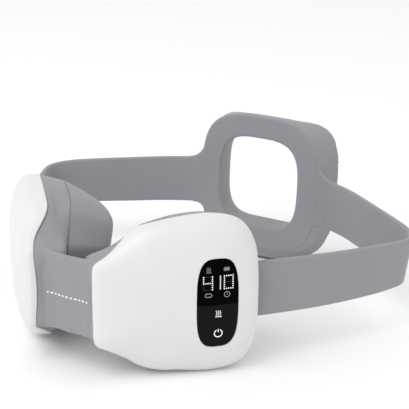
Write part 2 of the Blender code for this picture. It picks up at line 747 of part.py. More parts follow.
def ring_profile(angle):
    """(inset, depth) round the U section: a flat front band whose two edges turn back.

    The outer edge flares at the sides, dips at the top and reaches down to a foot at the bottom.
    """
    top = max(0.0, math.sin(angle)) ** 4
    foot = max(0.0, -math.sin(angle)) ** 4
    flare = RING_SIDE_FLARE + (RING_TOP_FLARE - RING_SIDE_FLARE) * top
    flare += (RING_FOOT_FLARE - RING_SIDE_FLARE) * foot
    bent = flare * (0.35 + 0.55 * foot)
    inner_flare = RING_SIDE_FLARE * (1 - foot) * (1 - top)
    inner_bent = inner_flare * 0.35
    skin = RING_SKIN
    inner = RING_BAND
    waist = RING_DEPTH * 0.6
    return [(0.8, 0.0), (inner - 0.8, 0.0), (inner, 1.2), (inner - inner_bent, waist),
            (inner - inner_flare, RING_DEPTH), (inner - inner_flare - skin, RING_DEPTH),
            (inner - inner_bent - skin, waist), (inner - skin - 0.4, skin), (skin + 0.4, skin),
            (skin - bent, waist), (skin - flare, RING_DEPTH), (-flare, RING_DEPTH), (-bent, waist),
            (0.0, 1.2)]


def ring_body():
    points = []
    for k in range(RING_SIDES):
        angle = 2 * math.pi * k / RING_SIDES
        section = ring_profile(angle)
        count = len(section)
        points += [above_floor(ring_point(angle, inset, depth)) for inset, depth in section]
    faces = []
    for k in range(RING_SIDES):
        here = k * count
        there = ((k + 1) % RING_SIDES) * count
        for j in range(count):
            after = (j + 1) % count
            faces.append((here + j, here + after, there + after, there + j))
    return mesh_object("back_ring", points, faces, SILICONE)


def ring_ear(side):
    """The flared tab that carries the headband into the ring."""
    flex = Vector(RING_FLEX)
    inward = (Vector((RING_HALF_WIDTH - 5.0, RING_Y + 1.5)) - flex).normalized()
    path = [flex + inward * FLEX_GAP / 2] + [flex + inward * length for length in EAR_INWARD]
    path.append(Vector((RING_HALF_WIDTH - 4.0, RING_Y + 1.6)))
    leans = [0.0, RING_LEAN * 0.4, RING_LEAN * 0.8, RING_LEAN]
    return ribbon("ear", side, path, EAR_HEIGHTS, EAR_HALF_HEIGHTS, BAND_THICK, SILICONE, leans=leans)


def back_ring():
    ring = ring_body()
    for side in (1, -1):
        join(ring, ring_ear(side))
    move_origin(ring, in_loop(*RING_FLEX, RING_FLEX_Z))
    return ring


# Assembly -----------------------------------------------------------------------------------------


def build_pod(side, tag):
    """The pieces that both pods share."""
    cover = rear_cover(f"rear_cover_{tag}", side)
    pad = face_pad(f"face_pad_{tag}", side)
    for piece in (cover, pad):
        cut(piece, bridge_notch(side))
        cut(piece, band_notch(side))
    pieces = [front_shell(f"front_shell_{tag}", side), cover, pad]
    pieces.append(foam_core(f"foam_core_{tag}", side))
    pieces.append(heating_film(f"heating_film_{tag}", side))
    pieces.append(motor(f"motor_{tag}", side))
    pieces.append(motor_clip(f"motor_clip_{tag}", side))
    pieces.append(motor_weight(f"motor_weight_{tag}", side))
    pieces.append(bridge_clamp(f"bridge_clamp_{tag}", side))
    pieces.append(band_anchor(f"band_anchor_{tag}", side))
    pieces.append(band_end(f"band_end_{tag}", side))
    for number, (s, z) in enumerate(SCREW_PLACES, 1):
        pieces.append(cover_screw(f"screw_{tag}_{number}", side, s, z))
    return pieces


def build_controls(shell, cover):
    """Display, keys and electronics of the right pod."""
    display_lens(1)
    cut(shell, pod_prism("window", 1, display_outline(DISPLAY_GAP), -2.0, 7.0, WHITE_PLASTIC))
    display_frame(1)
    pod_box("display_board", 1, DISPLAY_BOARD_S, DISPLAY_BOARD_DEPTHS, DISPLAY_BOARD_HEIGHTS, BOARD)
    for name, z in zip(("touch_spring_mode", "touch_spring_power"), KEY_HEIGHTS):
        touch_spring(name, 1, z)
    pod_box("main_board", 1, MAIN_BOARD_S, MAIN_BOARD_DEPTHS, MAIN_BOARD_HEIGHTS, BOARD)
    pod_rod("buzzer", 1, *BUZZER_PLACE, BUZZER_RADIUS, *BUZZER_DEPTHS, DARK_PLASTIC, sides=20)
    for piece in (shell, cover):
        cut(piece, port_opening(1))
    charge_port(1)


def build_battery():
    pod_box("battery", -1, BATTERY_S, BATTERY_DEPTHS, BATTERY_HEIGHTS, CELL)


def hang_left_pod(pieces):
    """Parents the left pod to an empty on the fold axis of the nose bridge."""
    pivot = bpy.data.objects.new("left_pod_pivot", None)
    bpy.context.scene.collection.objects.link(pivot)
    pivot.location = Vector(in_loop(0.0, BRIDGE_FRONT_Y + BRIDGE_THICK / 2, POD_CENTRE_Z)) * MM
    bpy.context.view_layer.update()
    for piece in pieces:
        piece.parent = pivot
        piece.matrix_parent_inverse = pivot.matrix_world.inverted()


def main():
    clear_scene()
    right = build_pod(1, "right")
    build_controls(right[0], right[1])
    left = build_pod(-1, "left")
    build_battery()
    left.append(bpy.data.objects["battery"])
    hang_left_pod(left)
    nose_bridge()
    bridge_cable()
    band_right = band("band_right", 1, FLEX_GAP / 2)
    move_origin(band_right, in_loop(*pod_plan(BAND_FLEX_S, BAND_DEPTH), POD_CENTRE_Z))
    back_ring()
    band_left = band("band_left", -1, OPEN_GAP)
    move_origin(band_left, in_loop(-RING_FLEX[0], RING_FLEX[1], RING_FLEX_Z))


main()
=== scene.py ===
"""Looks of the eye massager mask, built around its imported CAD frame.

World frame: +X toward the pod with the display, -Y to the front, +Z up, floor at Z = 0.
Sizes below are in millimetres; every mesh is written in metres.
"""

import json
import math

import bmesh
import bpy
import numpy as np
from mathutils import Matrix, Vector


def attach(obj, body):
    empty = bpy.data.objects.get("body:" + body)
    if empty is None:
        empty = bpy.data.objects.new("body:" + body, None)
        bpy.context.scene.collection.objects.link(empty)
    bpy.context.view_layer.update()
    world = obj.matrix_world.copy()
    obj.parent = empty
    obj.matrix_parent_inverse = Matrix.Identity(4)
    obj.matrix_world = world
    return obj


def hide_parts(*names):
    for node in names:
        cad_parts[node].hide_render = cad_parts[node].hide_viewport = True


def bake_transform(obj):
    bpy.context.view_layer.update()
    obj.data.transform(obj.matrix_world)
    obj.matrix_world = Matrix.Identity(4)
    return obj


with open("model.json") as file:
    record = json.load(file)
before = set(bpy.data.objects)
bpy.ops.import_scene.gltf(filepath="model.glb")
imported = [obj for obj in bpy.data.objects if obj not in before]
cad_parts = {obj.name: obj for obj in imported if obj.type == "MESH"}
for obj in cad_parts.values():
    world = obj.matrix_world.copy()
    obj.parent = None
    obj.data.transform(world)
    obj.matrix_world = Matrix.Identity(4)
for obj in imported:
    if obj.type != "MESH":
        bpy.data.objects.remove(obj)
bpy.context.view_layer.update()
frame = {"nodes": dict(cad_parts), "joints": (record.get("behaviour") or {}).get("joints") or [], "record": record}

MM = 0.001
JOINTS = {joint["name"]: np.array(joint.get("pos_m", (0, 0, 0))) / MM for joint in frame["joints"]}

# The loop and its pods, as in the CAD model.
FRONT_TO_CENTRE = 100.38
POD_CENTRE_Z = JOINTS["bridge_fold"][2]
POD_APEX_X = 49.7
POD_APEX_Y = 22.3
POD_HEADING = math.radians(43.5)
POD_NOSE_REACH = 38.2
POD_TEMPLE_REACH = 38.5
POD_HALF_HEIGHT = 38.2
POD_TAPER = 0.25
POD_TAPER_START = 16.0
POD_TAPER_POWER = 1.5
POD_NECK = 0.21
POD_NECK_START = -14.0
POD_NECK_END = -35.0
POD_NOSE_SQUARENESS = 14.0
POD_TEMPLE_SQUARENESS = 4.4
POD_SIDES = 192
OUTLINE_FINENESS = 2880
SOFT_SHARP_ANGLE = 50.0

# Shell.
CROWN_DEPTH = 13.0
CROWN_POWER = 2.6
CROWN_TO_RIM = 1.2
SHELL_WALL = 2.0
SHELL_INNER = 1 - SHELL_WALL / POD_TEMPLE_REACH
RIM_DEPTH_TOP = 17.0
RIM_DEPTH_NOSE = 8.5
RIM_DEPTH_TEMPLE = 11.8
RIM_RISE_FROM = 20.0
RIM_RISE_TO = 35.0
RIM_ROUND = 0.5
RIM_FLAT = 0.3
RIM_LOBE_CUT = 0.9
BAND_RELIEF = 2.1
LOBE_HEIGHT = 17.0
LOBE_SPREAD = 8.0
CROWN_RINGS = 44
WINDOW_REACH = 0.82
WINDOW_EASE = 0.18
WINDOW_RINGS = 16
WINDOW_RIM_RINGS = 26
WINDOW_CROWDING = 1.3

# Face pad.
PAD_GAP = 0.08
PAD_CREASE = 29.5
PAD_BULGE = 21.0
PAD_WALL = 2.0
PAD_SHOULDER = 21.8
PAD_TAPER = 0.905
PAD_NOSE_PULL = 0.09
PAD_LOBE = 1.8
PAD_SLOPE_INSET = 6.4
PAD_NOSE_NARROWING = 0.05
PAD_NOSE_DROP = 5.5
PAD_PEAK = 0.52
PAD_DIP = 5.0
PAD_NOSE_LEAN = 0.55
PAD_TEMPLE_LEAN = 0.35
PAD_EASE = 1.7
GROOVE_WIDTH = 0.6
GROOVE_DEPTH = 0.6
SKIRT_SCALE_RIM = 0.985
SKIRT_SCALE_MIDDLE = 0.978
SKIRT_SCALE_SHOULDER = 0.958
SKIRT_STEPS = 5
PAD_EDGE_REACH = 0.9953
PAD_RINGS = 46
LINING_RINGS = 14

# Display.
DISPLAY_S = 18.0
DISPLAY_Z = -0.5
DISPLAY_HALF_WIDTH = 9.7
DISPLAY_HALF_HEIGHT = 21.5
DISPLAY_SQUARENESS = 3.3
DISPLAY_GAP = 0.12
DISPLAY_SPLIT = -0.9
LENS_THICK = 2.0
LENS_EASE = 0.15
LENS_RINGS = 24

# Marks on the display: places are (s, z) from the middle of the display.
MARK_PROUD = 0.03
DIGIT_PITCH = 1.02
DOT_RADIUS = 0.33
ONE_PITCH = 0.76
ONE_RADIUS = 0.3
MARK_PLACES = {
    "heat": (-4.4, 16.6), "battery": (3.9, 16.6),
    "four": (-4.75, 10.4), "one": (1.0, 10.4), "nought": (4.9, 10.4),
    "cycle": (-4.5, 4.6), "clock": (4.2, 4.5),
    "heat_key": (0.3, -4.7), "power_key": (0.4, -14.6),
}
SEGMENT_DOTS = {
    "top": [(k, 6) for k in (1, 2, 3)],
    "middle": [(k, 3) for k in (1, 2, 3)],
    "bottom": [(k, 0) for k in (1, 2, 3)],
    "upper_left": [(0, k) for k in (3, 4, 5, 6)],
    "upper_right": [(4, k) for k in (3, 4, 5, 6)],
    "lower_left": [(0, k) for k in (0, 1, 2, 3)],
    "lower_right": [(4, k) for k in (0, 1, 2, 3)],
}

# Headband and nose bridge.
RIBBON_EDGE_SHARE = 0.85
RIBBON_EDGE_RADIUS = 1.3
BAND_THICK = 3.0
BAND_HALF_WIDTH = 13.75
BAND_DEPTH = 14.6
BAND_FLEX_S = 40.0
BAND_POINTS = ((88.0, 85.0), (102.5, 107.0), (110.5, 122.0), (112.6, 131.0), (108.0, 139.0),
               (98.0, 147.0), (80.0, 160.0), (62.0, 172.5))
BAND_SPLIT = 2
BAND_CORNER = 4
BAND_CORNER_LEAN = 0.13
BAND_CORNER_NARROWING = 1.0
BAND_TOP_FILLET = 13.0
BAND_LOW_FILLET = 8.0
BAND_ROOT_SINK = 0.4
BAND_STEPS = 14
LEFT_ROOT_STEPS = 24
BAND_ROOT_S = 28.0
RING_SEAM = (42.5, 179.5)
RING_ROOT = (34.0, 179.8)
BRIDGE_HALF_HEIGHT = 19.0
BRIDGE_POD_HALF_HEIGHT = 20.2
BRIDGE_THICK = 3.0
BRIDGE_POD_THICK = 9.0
BRIDGE_FLARE_FROM = 8.0
BRIDGE_FLARE_TO = 20.0
BRIDGE_DEPTH = 12.0
BRIDGE_END_S = -24.2
BRIDGE_EXIT_S = -36.5
BRIDGE_FRONT_Y = 3.9
BRIDGE_BEND_X = 7.0
BRIDGE_BEND_RISE = 0.5
BRIDGE_STEPS = 12
CABLE_HALF_HEIGHT = 4.0
CABLE_THICK = 0.6
CABLE_END_S = -20.6

# Ornament on the nose bridge.
ORNAMENT_COUNT = 5
ORNAMENT_PITCH = 2.3
ORNAMENT_Z = -1.0
ORNAMENT_DOT = 0.5
ORNAMENT_DASH = 1.5
ORNAMENT_THICK = 0.7

# Back ring.
RING_Y = 178.0
RING_FLEX_Z = JOINTS["right_ring_flex"][2]
RING_CENTRE_Z = 47.0
RING_LEAN = 0.05
RING_HALF_WIDTH = 38.6
RING_HALF_HEIGHT = 39.5
RING_BAND = 13.0
RING_DEPTH = 19.0
RING_SIDE_FLARE = 4.2
RING_TOP_FLARE = -5.0
RING_FOOT_FLARE = 9.5
RING_SKIN = 2.6
RING_SQUARENESS = 3.3
RING_EDGE = 0.7
RING_VOXEL = 0.55
RING_FLARE_POWER = 2.0
RING_FOOT_POWER = 0.3
RING_BACK_STEPS = 7
RING_SIDES = 160
RING_EASE_STEPS = 4
SEAM_MERGE = 1e-7
SEAM_MARGIN = 1e-6

# Camera, light and floor. The light and the floor are in metres.
CAMERA_AZIMUTH = math.radians(32.4)
CAMERA_ELEVATION = math.radians(18.3)
CAMERA_ROLL = math.radians(0.63)
CAMERA_LENS = 96.4
CAMERA_DISTANCE = 573.0
CAMERA_TARGET = (0.0, 92.3 - FRONT_TO_CENTRE, 37.6)
CAMERA_RIGHT = 15.4
CAMERA_UP = 18.9
KEY_PLACE = (-0.25, -0.85, 1.1)
KEY_AIM = (0.0, 0.0, 0.04)
KEY_SIZE = 0.9
KEY_POWER = 6.5
WORLD_STRENGTH = 0.93
FLOOR_REACH = 6.0


# Materials ----------------------------------------------------------------------------------------


def new_material(name, colour, roughness, metallic=0.0, specular=0.5):
    """A material with one shader, ready for its own detail."""
    made = bpy.data.materials.new(name)
    made.use_nodes = True
    made.diffuse_color = (*colour, 1.0)
    shader = shader_of(made)
    shader.inputs["Base Color"].default_value = (*colour, 1.0)
    shader.inputs["Roughness"].default_value = roughness
    shader.inputs["Metallic"].default_value = metallic
    shader.inputs["Specular IOR Level"].default_value = specular
    return made


def shader_of(material):
    return material.node_tree.nodes["Principled BSDF"]


def add_noise(material, scale, detail=3.0, stretch=None):
    """Noise in the piece's own space, at so many cells a metre."""
    nodes = material.node_tree.nodes
    links = material.node_tree.links
    place = nodes.new("ShaderNodeTexCoord")
    noise = nodes.new("ShaderNodeTexNoise")
    noise.inputs["Scale"].default_value = scale
    noise.inputs["Detail"].default_value = detail
    source = place.outputs["Object"]
    if stretch:
        mapping = nodes.new("ShaderNodeMapping")
        mapping.inputs["Scale"].default_value = stretch
        links.new(source, mapping.inputs["Vector"])
        source = mapping.outputs["Vector"]
    links.new(source, noise.inputs["Vector"])
    return noise


def vary_colour(material, noise, low, high):
    """Colour that drifts between two tones."""
    nodes = material.node_tree.nodes
    links = material.node_tree.links
    ramp = nodes.new("ShaderNodeValToRGB")
    ramp.color_ramp.elements[0].position = 0.3
    ramp.color_ramp.elements[1].position = 0.7
    ramp.color_ramp.elements[0].color = (*low, 1.0)
    ramp.color_ramp.elements[1].color = (*high, 1.0)
    links.new(noise.outputs["Fac"], ramp.inputs["Fac"])
    links.new(ramp.outputs["Color"], shader_of(material).inputs["Base Color"])


def vary_roughness(material, noise, low, high):
    nodes = material.node_tree.nodes
    links = material.node_tree.links
    spread = nodes.new("ShaderNodeMapRange")
    spread.inputs["From Min"].default_value = 0.3
    spread.inputs["From Max"].default_value = 0.7
    spread.inputs["To Min"].default_value = low
    spread.inputs["To Max"].default_value = high
    links.new(noise.outputs["Fac"], spread.inputs["Value"])
    links.new(spread.outputs["Result"], shader_of(material).inputs["Roughness"])


def add_bump(material, height, strength, distance):
    """Fine relief; distance is in metres."""
    nodes = material.node_tree.nodes
    links = material.node_tree.links
    bump = nodes.new("ShaderNodeBump")
    bump.inputs["Strength"].default_value = strength
    bump.inputs["Distance"].default_value = distance
    links.new(height.outputs["Fac"], bump.inputs["Height"])
    links.new(bump.outputs["Normal"], shader_of(material).inputs["Normal"])


def white_plastic():
    """Satin moulded plastic with a trace of orange peel."""
    material = new_material("white_plastic", (0.70, 0.70, 0.705), 0.36, specular=0.45)
    shader = shader_of(material)
    shader.inputs["Coat Weight"].default_value = 0.12
    shader.inputs["Coat Roughness"].default_value = 0.3
    vary_colour(material, add_noise(material, 18.0, 2.0), (0.695, 0.695, 0.70), (0.712, 0.711, 0.715))
    vary_roughness(material, add_noise(material, 260.0), 0.33, 0.4)
    add_bump(material, add_noise(material, 1400.0, 1.0), 0.05, 0.00005)
    return material


def grey_silicone():
    """Matte soft-touch silicone with a fine grain."""
    material = new_material("grey_silicone", (0.275, 0.27, 0.295), 0.62, specular=0.3)
    shader = shader_of(material)
    shader.inputs["Sheen Weight"].default_value = 0.12
    shader.inputs["Sheen Roughness"].default_value = 0.5
    vary_colour(material, add_noise(material, 30.0, 4.0), (0.268, 0.263, 0.288), (0.284, 0.28, 0.304))
    vary_roughness(material, add_noise(material, 700.0), 0.56, 0.68)
    add_bump(material, add_noise(material, 4200.0, 2.0), 0.12, 0.00006)
    return material


def display_glass(name, colour, specular):
    material = new_material(name, colour, 0.1, specular=specular)
    vary_roughness(material, add_noise(material, 320.0, 4.0), 0.07, 0.14)
    return material


def lit_mark(name, colour, brightness):
    """Light that shines through the window."""
    material = new_material(name, colour, 0.5, specular=0.1)
    shader = shader_of(material)
    shader.inputs["Emission Color"].default_value = (1.0, 1.0, 1.0, 1.0)
    shader.inputs["Emission Strength"].default_value = brightness
    vary_roughness(material, add_noise(material, 900.0), 0.45, 0.55)
    return material


def white_print():
    material = new_material("white_print", (0.86, 0.86, 0.87), 0.55)
    vary_roughness(material, add_noise(material, 2500.0), 0.5, 0.62)
    return material


def plain_plastic(name, colour):
    material = new_material(name, colour, 0.5)
    lighter = tuple(min(1.0, c * 1.12) for c in colour)
    vary_colour(material, add_noise(material, 60.0), colour, lighter)
    vary_roughness(material, add_noise(material, 500.0), 0.45, 0.58)
    add_bump(material, add_noise(material, 2600.0, 2.0), 0.15, 0.00005)
    return material


def metal(name, colour, roughness):
    """Brushed or plated metal."""
    material = new_material(name, colour, roughness, metallic=1.0)
    grain = add_noise(material, 300.0, 4.0, (1.0, 1.0, 14.0))
    vary_roughness(material, grain, roughness * 0.8, roughness * 1.3)
    add_bump(material, grain, 0.08, 0.00003)
    return material


def open_foam():
    material = new_material("foam", (0.72, 0.7, 0.64), 0.95, specular=0.1)
    shader = shader_of(material)
    nodes = material.node_tree.nodes
    links = material.node_tree.links
    place = nodes.new("ShaderNodeTexCoord")
    cells = nodes.new("ShaderNodeTexVoronoi")
    cells.inputs["Scale"].default_value = 1300.0
    links.new(place.outputs["Object"], cells.inputs["Vector"])
    bump = nodes.new("ShaderNodeBump")
    bump.inputs["Strength"].default_value = 0.6
    bump.inputs["Distance"].default_value = 0.0003
    links.new(cells.outputs["Distance"], bump.inputs["Height"])
    links.new(bump.outputs["Normal"], shader.inputs["Normal"])
    vary_colour(material, add_noise(material, 400.0), (0.66, 0.63, 0.56), (0.76, 0.74, 0.68))
    return material


def film_heater():
    """Amber film with its printed heating track."""
    material = new_material("heating_film", (0.55, 0.25, 0.06), 0.35)
    shader = shader_of(material)
    nodes = material.node_tree.nodes
    links = material.node_tree.links
    place = nodes.new("ShaderNodeTexCoord")
    track = nodes.new("ShaderNodeTexWave")
    track.inputs["Scale"].default_value = 110.0
    ramp = nodes.new("ShaderNodeValToRGB")
    ramp.color_ramp.elements[0].color = (0.5, 0.2, 0.04, 1.0)
    ramp.color_ramp.elements[1].color = (0.72, 0.42, 0.2, 1.0)
    ramp.color_ramp.elements[0].position = 0.6
    ramp.color_ramp.elements[1].position = 0.65
    links.new(place.outputs["Object"], track.inputs["Vector"])
    links.new(track.outputs["Fac"], ramp.inputs["Fac"])
    links.new(ramp.outputs["Color"], shader.inputs["Base Color"])
    return material


def circuit_board():
    """Green solder resist with brighter copper lines under it."""
    material = new_material("circuit_board", (0.02, 0.14, 0.06), 0.4)
    shader = shader_of(material)
    nodes = material.node_tree.nodes
    links = material.node_tree.links
    place = nodes.new("ShaderNodeTexCoord")
    tracks = nodes.new("ShaderNodeTexBrick")
    tracks.inputs["Scale"].default_value = 260.0
    tracks.inputs["Mortar Size"].default_value = 0.03
    tracks.inputs["Color1"].default_value = (0.015, 0.12, 0.05, 1.0)
    tracks.inputs["Color2"].default_value = (0.018, 0.14, 0.06, 1.0)
    tracks.inputs["Mortar"].default_value = (0.05, 0.25, 0.1, 1.0)
    links.new(place.outputs["Object"], tracks.inputs["Vector"])
    links.new(tracks.outputs["Color"], shader.inputs["Base Color"])
    vary_roughness(material, add_noise(material, 300.0), 0.35, 0.48)
    return material


def battery_foil():
    material = new_material("battery_wrap", (0.45, 0.46, 0.5), 0.32, metallic=0.6)
    creases = add_noise(material, 90.0, 5.0)
    vary_roughness(material, creases, 0.24, 0.42)
    add_bump(material, creases, 0.2, 0.0002)
    return material


# Meshes -------------------------------------------------------------------------------------------


def in_loop(points):
    """World points from loop coordinates, whose y starts at the front of the nose."""
    return np.asarray(points, float) - np.array((0.0, FRONT_TO_CENTRE, 0.0))


def in_pod(side, s, depth, z):
    """World points from pod coordinates: s toward the temple, depth toward the face, z from mid-height."""
    s, depth, z = np.broadcast_arrays(np.asarray(s, float), depth, z)
    x = POD_APEX_X + s * math.cos(POD_HEADING) - depth * math.sin(POD_HEADING)
    y = POD_APEX_Y + s * math.sin(POD_HEADING) + depth * math.cos(POD_HEADING)
    return in_loop(np.stack([side * x, y, np.maximum(z + POD_CENTRE_Z, 0.0)], -1))


def pod_plan(s, depth):
    """Plan position of a pod point in loop coordinates, right-hand side."""
    return (POD_APEX_X + s * math.cos(POD_HEADING) - depth * math.sin(POD_HEADING),
            POD_APEX_Y + s * math.sin(POD_HEADING) + depth * math.cos(POD_HEADING))


def mesh_object(name, points, faces, material, sharp_angle=40.0):
    """A closed mesh from millimetre points, faces turned outward, smooth but for its sharp edges."""
    mesh = bpy.data.meshes.new(name)
    mesh.from_pydata((np.asarray(points, float) * MM).tolist(), [], faces)
    work = bmesh.new()
    work.from_mesh(mesh)
    bmesh.ops.recalc_face_normals(work, faces=work.faces)
    work.to_mesh(mesh)
    work.free()
    mesh.materials.append(material)
    mesh.shade_smooth()
    mesh.set_sharp_from_angle(angle=math.radians(sharp_angle))
    obj = bpy.data.objects.new(name, mesh)
    bpy.context.scene.collection.objects.link(obj)
    return obj


def skin(name, rings, material, poles=None, sharp_angle=40.0):
    """A closed surface through equal rings: a torus of rings, or a ball when it has two poles."""
    rings = np.asarray(rings, float)
    count, sides = rings.shape[:2]
    points = rings.reshape(-1, 3)
    faces = []
    for k in range(count if poles is None else count - 1):
        low = k * sides
        high = ((k + 1) % count) * sides
        faces += [(low + j, high + j, high + (j + 1) % sides, low + (j + 1) % sides) for j in range(sides)]
    if poles is not None:
        first = count * sides
        last = first + 1
        end = (count - 1) * sides
        faces += [(first, j, (j + 1) % sides) for j in range(sides)]
        faces += [(end + j, last, end + (j + 1) % sides) for j in range(sides)]
        points = np.vstack([points, poles])
    return mesh_object(name, points, faces, material, sharp_angle)


def apply_modifiers(obj):
    bpy.context.view_layer.update()
    graph = bpy.context.evaluated_depsgraph_get()
    result = bpy.data.meshes.new_from_object(obj.evaluated_get(graph))
    obj.modifiers.clear()
    obj.data = result


def spline(points, steps):
    """A smooth curve through points, or through equal rows of points."""
    points = np.asarray(points, float)
    knots = np.concatenate([[2 * points[0] - points[1]], points, [2 * points[-1] - points[-2]]])
    path = []
    for k in range(1, len(knots) - 2):
        before, here, after, beyond = knots[k - 1 : k + 3]
        for step in range(steps):
            t = step / steps
            path.append(0.5 * (2 * here + (after - before) * t
                               + (2 * before - 5 * here + 4 * after - beyond) * t ** 2
                               + (3 * here - before - 3 * after + beyond) * t ** 3))
    path.append(knots[-2])
    return np.array(path)


def section(half_width, half_thick, corners=5):
    """Points round a ribbon's section: (offset across, height), with rounded edges."""
    radius = min(half_thick * RIBBON_EDGE_SHARE, RIBBON_EDGE_RADIUS)
    points = []
    for turn, (across, up) in enumerate(((1, 1), (-1, 1), (-1, -1), (1, -1))):
        for k in range(corners):
            angle = math.pi / 2 * (turn + k / (corners - 1))
            points.append((across * (half_thick - radius) + radius * math.cos(angle),
                           up * (half_width - radius) + radius * math.sin(angle)))
    return points


def ribbon_rings(path, centre_z, half_widths, half_thicks, leans=None, shifts=None):
    """Rings of world points along a plan path in loop coordinates.

    leans moves the ribbon's upper edge outward; shifts moves its middle outward.
    """
    along = np.gradient(path, axis=0)
    along /= np.linalg.norm(along, axis=1)[:, None]
    across = np.stack([along[:, 1], -along[:, 0]], -1)
    leans = np.zeros(len(path)) if leans is None else leans
    shifts = np.zeros(len(path)) if shifts is None else shifts
    rings = []
    for k, spot in enumerate(path):
        ring = []
        for offset, height in section(half_widths[k], half_thicks[k]):
            x, y = spot + across[k] * (offset + shifts[k] + leans[k] * height)
            ring.append((x, y, centre_z[k] + height))
        rings.append(ring)
    return in_loop(rings)


def ribbon(name, rings, material, side=1):
    rings = np.array(rings)
    rings[..., 0] *= side
    return skin(name, rings, material, (rings[0].mean(0), rings[-1].mean(0)))


# Pod outline and surfaces -------------------------------------------------------------------------


def signed_power(value, power):
    return np.copysign(np.abs(value) ** power, value)


def smooth_step(share):
    share = np.clip(share, 0, 1)
    return share * share * (3 - 2 * share)


def dense_outline():
    angles = np.linspace(0, 2 * math.pi, OUTLINE_FINENESS + 1)
    temple = np.cos(angles) >= 0
    reach = np.where(temple, POD_TEMPLE_REACH, POD_NOSE_REACH)
    power = 2 / np.where(temple, POD_TEMPLE_SQUARENESS, POD_NOSE_SQUARENESS)
    s = reach * signed_power(np.cos(angles), power)
    z = POD_HALF_HEIGHT * signed_power(np.sin(angles), power)
    toward_nose = np.maximum(0.0, POD_TAPER_START - s) / (POD_TAPER_START + POD_NOSE_REACH)
    neck = smooth_step((POD_NECK_START - s) / (POD_NECK_START - POD_NECK_END))
    return np.stack([s, z * (1 - POD_TAPER * toward_nose ** POD_TAPER_POWER - POD_NECK * neck)], -1)


def evenly(line, count):
    """Points evenly spaced along a closed line."""
    steps = np.linalg.norm(np.diff(line, axis=0), axis=1)
    travelled = np.concatenate([[0.0], np.cumsum(steps)])
    wanted = travelled[-1] * np.arange(count) / count
    return np.stack([np.interp(wanted, travelled, line[:, k]) for k in (0, 1)], -1)


DENSE = dense_outline()
OUTLINE = evenly(DENSE, POD_SIDES)
DENSE_ANGLES = np.unwrap(np.arctan2(DENSE[:, 1], DENSE[:, 0]))
DENSE_RADII = np.linalg.norm(DENSE, axis=1)


def lobe_level(heights):
    """How near a height is to the middle of the lobe above or below the nose bridge, from 0 to 1."""
    return np.exp(-((np.abs(heights) - LOBE_HEIGHT) / LOBE_SPREAD) ** 2)


def rim_depth(points):
    """Depth of the shell's scalloped rear edge at outline points. It is cut deepest beside the lobes."""
    toward_nose = np.clip(-points[:, 0] / POD_NOSE_REACH, 0, 1)
    nose = RIM_DEPTH_NOSE - RIM_LOBE_CUT * toward_nose * lobe_level(points[:, 1])
    temple = RIM_DEPTH_TEMPLE - BAND_RELIEF * np.exp(-(points[:, 1] / BAND_HALF_WIDTH) ** 4)
    end = np.where(points[:, 0] > 0, temple, nose)
    share = smooth_step((np.abs(points[:, 1]) - RIM_RISE_FROM) / (RIM_RISE_TO - RIM_RISE_FROM))
    return end + (RIM_DEPTH_TOP - end) * share


RIM = rim_depth(OUTLINE)
CROWN_AT = np.minimum(CROWN_DEPTH, RIM - CROWN_TO_RIM)


def crown(points):
    """Depth of the crowned front at (s, z) points."""
    points = np.asarray(points, float)
    angle = np.arctan2(points[..., 1], points[..., 0]) % (2 * math.pi)
    reach = np.linalg.norm(points, axis=-1) / np.interp(angle, DENSE_ANGLES, DENSE_RADII)
    outline_angles = np.unwrap(np.arctan2(OUTLINE[:, 1], OUTLINE[:, 0]))
    full = np.interp(angle, outline_angles, CROWN_AT, period=2 * math.pi)
    reach = np.clip(reach, 0, 1)
    return full * (1 - (1 - reach ** CROWN_POWER) ** (1 / CROWN_POWER))


def shell_edge(side):
    """Rings of the side wall, the rounded rim and the inside, from the crown's edge to the inner crown."""
    bend = RIM_ROUND / POD_TEMPLE_REACH
    rows = [(1.0, RIM - RIM_ROUND - RIM_FLAT), (1.0, RIM - RIM_ROUND)]
    for k in (1, 2, 3):
        angle = k * math.pi / 6
        rows.append((1.0 - bend * (1 - math.cos(angle)), RIM - RIM_ROUND * (1 - math.sin(angle))))
    rows += [(SHELL_INNER, RIM), (SHELL_INNER, RIM - RIM_FLAT), (SHELL_INNER, CROWN_AT)]
    return [in_pod(side, OUTLINE[:, 0] * r, depth, OUTLINE[:, 1] * r) for r, depth in rows]


def crown_rings(side, reaches, scale=1.0, sunk=0.0):
    rings = []
    for reach in reaches:
        points = OUTLINE * reach
        rings.append(in_pod(side, points[:, 0] * scale, crown(points) + sunk, points[:, 1] * scale))
    return rings


def crown_reaches(count, start=0.0):
    """Shares of the way out, closer together where the crown turns down."""
    first = math.asin(start ** (CROWN_POWER / 2))
    return [math.sin(a) ** (2 / CROWN_POWER) for a in np.linspace(first, math.pi / 2, count)]


def front_shell(side, tag, material):
    reaches = crown_reaches(CROWN_RINGS)[1:]
    rings = crown_rings(side, reaches) + shell_edge(side)
    rings += crown_rings(side, reaches[-2::-2], SHELL_INNER, SHELL_WALL)
    poles = (in_pod(side, 0, 0, 0), in_pod(side, 0, SHELL_WALL, 0))
    return skin(f"shell_{tag}", rings, material, poles)


def display_outline(grow, count=POD_SIDES):
    angles = np.linspace(0, 2 * math.pi, OUTLINE_FINENESS + 1)
    power = 2 / DISPLAY_SQUARENESS
    line = np.stack([(DISPLAY_HALF_WIDTH + grow) * signed_power(np.cos(angles), power),
                     (DISPLAY_HALF_HEIGHT + grow) * signed_power(np.sin(angles), power)], -1)
    return evenly(line, count) + np.array((DISPLAY_S, DISPLAY_Z))


